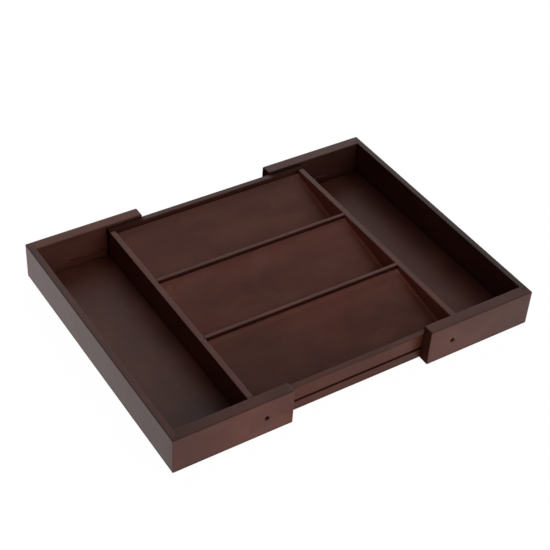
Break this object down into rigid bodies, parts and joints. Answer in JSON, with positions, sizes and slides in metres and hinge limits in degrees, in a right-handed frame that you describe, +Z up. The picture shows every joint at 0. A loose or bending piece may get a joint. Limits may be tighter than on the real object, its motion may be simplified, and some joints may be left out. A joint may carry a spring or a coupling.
{
  "type": "expandable drawer organizer insert",
  "caption": "Expandable stained-wood drawer insert: a centre box with tilted tiers between sliding side trays.",
  "frame": {"origin": "middle of the underside of the whole insert, side trays pulled out to their stops", "axes": "+Z up, X along the sliding direction with the left tray at -X, the low front rail faces -Y"},
  "size_m": [0.504, 0.38, 0.051],
  "materials": {
    "stained_wood": "dark espresso stain under a smooth satin varnish",
    "dowel_wood": "plain unfinished beech",
    "screw_steel": "dull zinc plate"
  },
  "bodies": {
    "centre_box": {"centre_back_rail": "stained_wood", "centre_corner_dowels": "dowel_wood", "centre_front_rail": "stained_wood", "front_divider": "stained_wood", "front_tilted_panel": "stained_wood", "left_partition": "stained_wood", "middle_tilted_panel": "stained_wood", "rear_divider": "stained_wood", "rear_tilted_panel": "stained_wood", "right_partition": "stained_wood", "stop_screws": "screw_steel"},
    "left_tray": {"left_tray_back_guide_strip": "stained_wood", "left_tray_back_wall": "stained_wood", "left_tray_corner_dowels": "dowel_wood", "left_tray_end_wall": "stained_wood", "left_tray_floor": "stained_wood", "left_tray_floor_runner": "stained_wood", "left_tray_front_guide_strip": "stained_wood", "left_tray_front_wall": "stained_wood"},
    "right_tray": {"right_tray_back_guide_strip": "stained_wood", "right_tray_back_wall": "stained_wood", "right_tray_corner_dowels": "dowel_wood", "right_tray_end_wall": "stained_wood", "right_tray_floor": "stained_wood", "right_tray_floor_runner": "stained_wood", "right_tray_front_guide_strip": "stained_wood", "right_tray_front_wall": "stained_wood"}
  },
  "joints": [
    {"name": "left_tray_slide", "type": "slide", "parent": "centre_box", "child": "left_tray", "axis": [1, 0, 0], "range_m": [0, 0.095]},
    {"name": "right_tray_slide", "type": "slide", "parent": "centre_box", "child": "right_tray", "axis": [-1, 0, 0], "range_m": [0, 0.095]}
  ]
}
